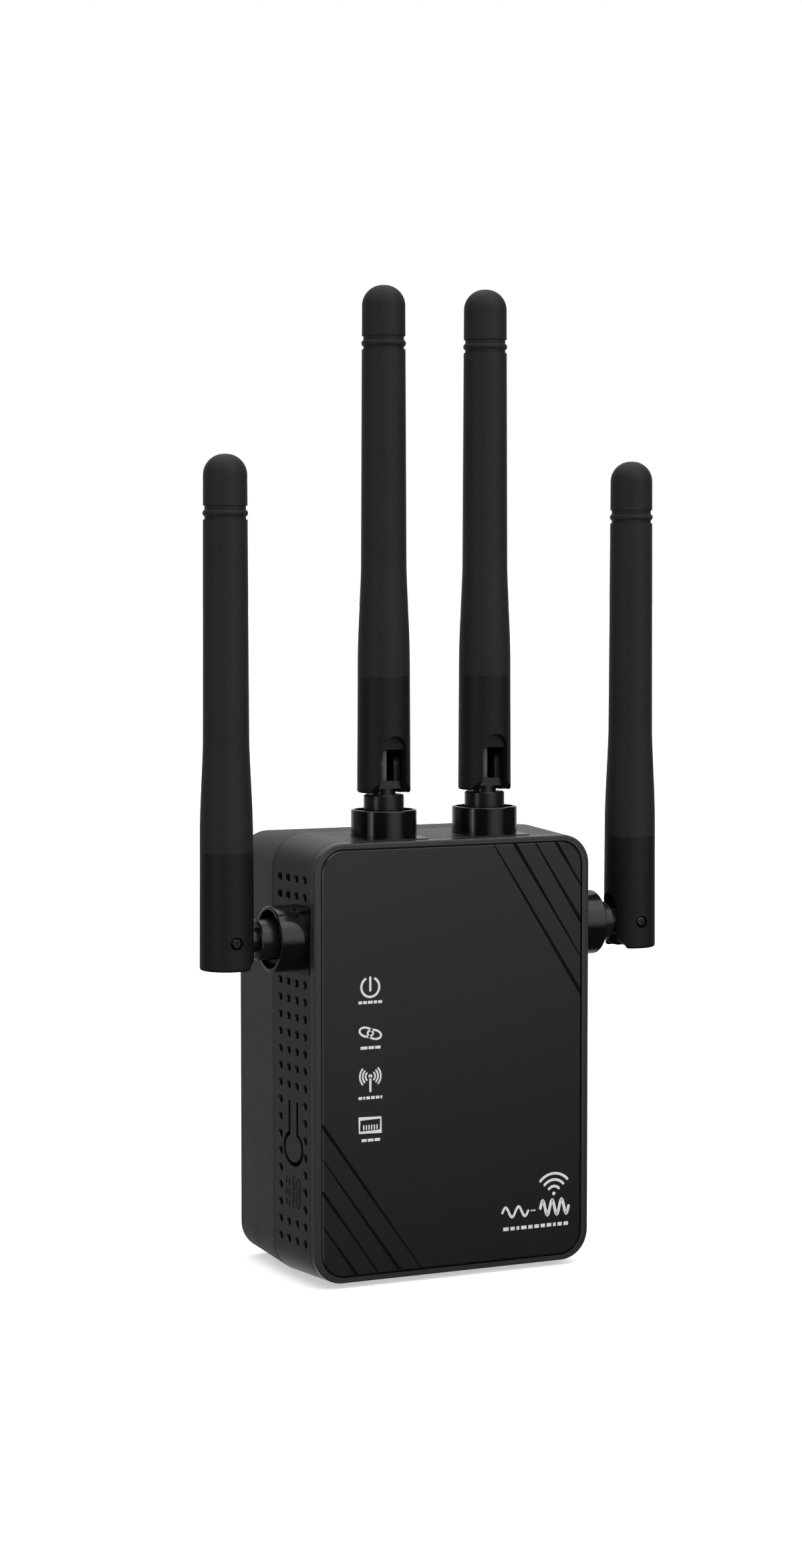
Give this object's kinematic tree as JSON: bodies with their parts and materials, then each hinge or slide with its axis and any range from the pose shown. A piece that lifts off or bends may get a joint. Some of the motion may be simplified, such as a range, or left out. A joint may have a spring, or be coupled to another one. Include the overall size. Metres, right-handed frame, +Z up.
{
  "type": "wifi range extender",
  "caption": "Plug-in wireless range extender: a slim upright case with a glossy panel, flat mains blades on its back, and hinged, swivelling antennas on its top and sides.",
  "frame": {"origin": "centre of the flat back face, where the mains blades leave it", "axes": "+Z up, +Y out of the back towards the wall socket, so the panel faces -Y; +X to the right seen from the front"},
  "size_m": [0.0978, 0.0544, 0.1907],
  "materials": {
    "case_textured": "fine spark-eroded texture",
    "case_satin": "satin moulded",
    "rim_gloss": "polished",
    "panel_gloss": "polished",
    "socket_gloss": "polished",
    "knuckle_plastic": "satin moulded",
    "sleeve_matte": "fine grain",
    "radome_matte": "fine grain",
    "pin_steel": "turned, blackened",
    "insert_plastic": "satin moulded",
    "blade_metal": "nickel-plated brass",
    "board_green": "solder mask",
    "ferrite": "sintered",
    "winding_tape": "polyester tape",
    "capacitor_sleeve": "shrink sleeve",
    "chip_black": "moulded",
    "fuse_glass": "glass tube with metal caps",
    "header_metal": "plated pins",
    "insulating_paper": "sheet",
    "heat_sink_aluminium": "extruded",
    "tinned_steel": "tinned",
    "jack_plastic": "moulded",
    "contact_gold": "gold flash",
    "lamp_white": "diffusing lens",
    "light_guide_clear": "clear acrylic",
    "plunger_plastic": "moulded",
    "coax_grey": "extruded jacket",
    "screw_steel": "zinc plated",
    "element_board": "copper on laminate"
  },
  "bodies": {
    "housing": {"board_screws": "screw_steel", "bulk_capacitors": "capacitor_sleeve", "case_screws": "screw_steel", "coax_connectors": "contact_gold", "coax_leads": "coax_grey", "front_bezel": "rim_gloss", "front_panel": "panel_gloss", "heat_sink": "heat_sink_aluminium", "insulating_sheet": "insulating_paper", "lan_contacts": "contact_gold", "lan_jack_body": "jack_plastic", "lan_jack_shell": "tinned_steel", "lan_magnetics": "chip_black", "light_guides": "light_guide_clear", "link_header": "header_metal", "main_board": "board_green", "mains_fuse": "fuse_glass", "memory_chips": "chip_black", "mid_housing": "case_satin", "output_capacitor": "capacitor_sleeve", "plug_blade_left": "blade_metal", "plug_blade_right": "blade_metal", "plug_insert": "insert_plastic", "power_board": "board_green", "processor": "chip_black", "radio_chip": "chip_black", "radio_shield": "tinned_steel", "rear_cover": "case_textured", "rectifier": "chip_black", "socket_side_left": "socket_gloss", "socket_side_right": "socket_gloss", "socket_top_left": "socket_gloss", "socket_top_right": "socket_gloss", "status_leds": "lamp_white", "tact_switch": "chip_black", "transformer_core": "ferrite", "transformer_winding": "winding_tape"},
    "knuckle_top_left": {"knuckle_top_left": "knuckle_plastic"},
    "antenna_top_left": {"hinge_pins_top_left": "pin_steel", "sleeve_top_left": "sleeve_matte", "radome_top_left": "radome_matte", "element_top_left": "element_board"},
    "knuckle_top_right": {"knuckle_top_right": "knuckle_plastic"},
    "antenna_top_right": {"hinge_pins_top_right": "pin_steel", "sleeve_top_right": "sleeve_matte", "radome_top_right": "radome_matte", "element_top_right": "element_board"},
    "knuckle_side_left": {"knuckle_side_left": "knuckle_plastic"},
    "antenna_side_left": {"hinge_pins_side_left": "pin_steel", "sleeve_side_left": "sleeve_matte", "radome_side_left": "radome_matte", "element_side_left": "element_board"},
    "knuckle_side_right": {"knuckle_side_right": "knuckle_plastic"},
    "antenna_side_right": {"hinge_pins_side_right": "pin_steel", "sleeve_side_right": "sleeve_matte", "radome_side_right": "radome_matte", "element_side_right": "element_board"},
    "button": {"pair_button": "case_satin", "switch_plunger": "plunger_plastic"}
  },
  "joints": [
    {"name": "swivel_top_left", "type": "hinge", "parent": "housing", "child": "knuckle_top_left", "pos_m": [-0.0109, -0.0278, 0.042], "axis": [0, 0, -1], "range_deg": [-90, 90]},
    {"name": "fold_top_left", "type": "hinge", "parent": "knuckle_top_left", "child": "antenna_top_left", "pos_m": [-0.0109, -0.0278, 0.0562], "axis": [1, 0, 0], "range_deg": [0, 90]},
    {"name": "swivel_top_right", "type": "hinge", "parent": "housing", "child": "knuckle_top_right", "pos_m": [0.0109, -0.0278, 0.042], "axis": [0, 0, 1], "range_deg": [-90, 90]},
    {"name": "fold_top_right", "type": "hinge", "parent": "knuckle_top_right", "child": "antenna_top_right", "pos_m": [0.0109, -0.0278, 0.0562], "axis": [1, 0, 0], "range_deg": [0, 90]},
    {"name": "swivel_side_left", "type": "hinge", "parent": "housing", "child": "knuckle_side_left", "pos_m": [-0.0295, -0.0278, 0.0236], "axis": [-1, 0, 0], "range_deg": [-90, 90]},
    {"name": "fold_side_left", "type": "hinge", "parent": "knuckle_side_left", "child": "antenna_side_left", "pos_m": [-0.0437, -0.0278, 0.0236], "axis": [0, -1, 0], "range_deg": [0, 90]},
    {"name": "swivel_side_right", "type": "hinge", "parent": "housing", "child": "knuckle_side_right", "pos_m": [0.0295, -0.0278, 0.0236], "axis": [-1, 0, 0], "range_deg": [-90, 90]},
    {"name": "fold_side_right", "type": "hinge", "parent": "knuckle_side_right", "child": "antenna_side_right", "pos_m": [0.0437, -0.0278, 0.0236], "axis": [0, 1, 0], "range_deg": [0, 90]},
    {"name": "button_press", "type": "hinge", "parent": "housing", "child": "button", "pos_m": [-0.02875, -0.0275, -0.00792], "axis": [0, -1, 0], "range_deg": [0, 2.4], "stiffness_Nm_per_rad": 0.5}
  ]
}
